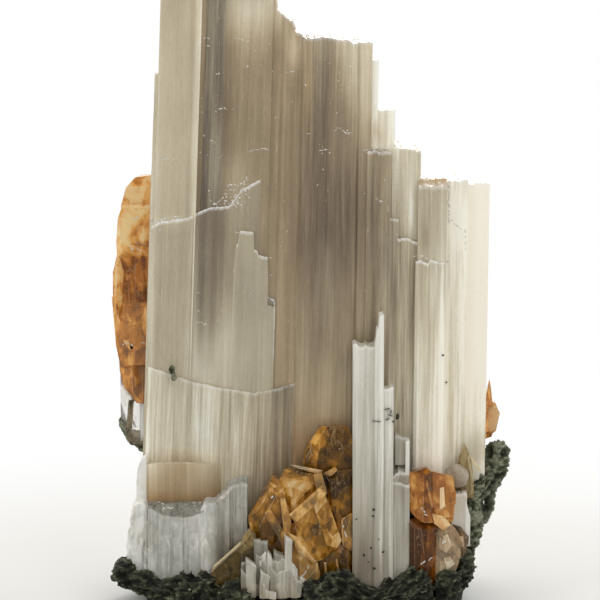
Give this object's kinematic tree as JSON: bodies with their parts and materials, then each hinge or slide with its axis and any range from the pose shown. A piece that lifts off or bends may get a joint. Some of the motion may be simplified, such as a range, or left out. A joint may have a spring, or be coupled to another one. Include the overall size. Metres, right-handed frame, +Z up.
{
  "type": "ulexite specimen",
  "caption": "Upright satin-fibre ulexite mineral specimen with amber crystals on a grey-green clay matrix, for display standing on its flat base.",
  "frame": {"origin": "middle of the flat sawn base, on the surface the specimen stands on", "axes": "+Z up along the fibres, -Y the display face, +X to the right when it is seen from the display side"},
  "size_m": [0.0639, 0.0401, 0.1016],
  "materials": {
    "ulexite_silky": "satin fibrous, translucent",
    "ulexite_white": "satin fibrous, milky",
    "ulexite_icy": "glossy, icy, translucent",
    "amber_crystal": "glassy, clear honey to red-brown",
    "olive_crystal": "glassy, clear olive to tan",
    "grey_clear_crystal": "glassy, clear grey",
    "grey_green_clay": "dull, granular"
  },
  "bodies": {
    "root": {"clay_matrix": "grey_green_clay", "ulexite_main_mass": "ulexite_silky", "ulexite_front_prism": "ulexite_white", "ulexite_left_block": "ulexite_icy", "ulexite_right_block": "ulexite_white", "small_ulexite_cluster": "ulexite_white", "ulexite_left_tip": "ulexite_icy", "amber_left_crystal": "amber_crystal", "amber_centre_cluster": "amber_crystal", "amber_right_crystal": "amber_crystal", "amber_edge_sliver": "amber_crystal", "olive_front_crystal": "olive_crystal", "tan_shard": "olive_crystal", "grey_clear_pebble": "grey_clear_crystal", "clay_left_rind": "grey_green_clay", "clay_fleck": "grey_green_clay"}
  },
  "joints": []
}
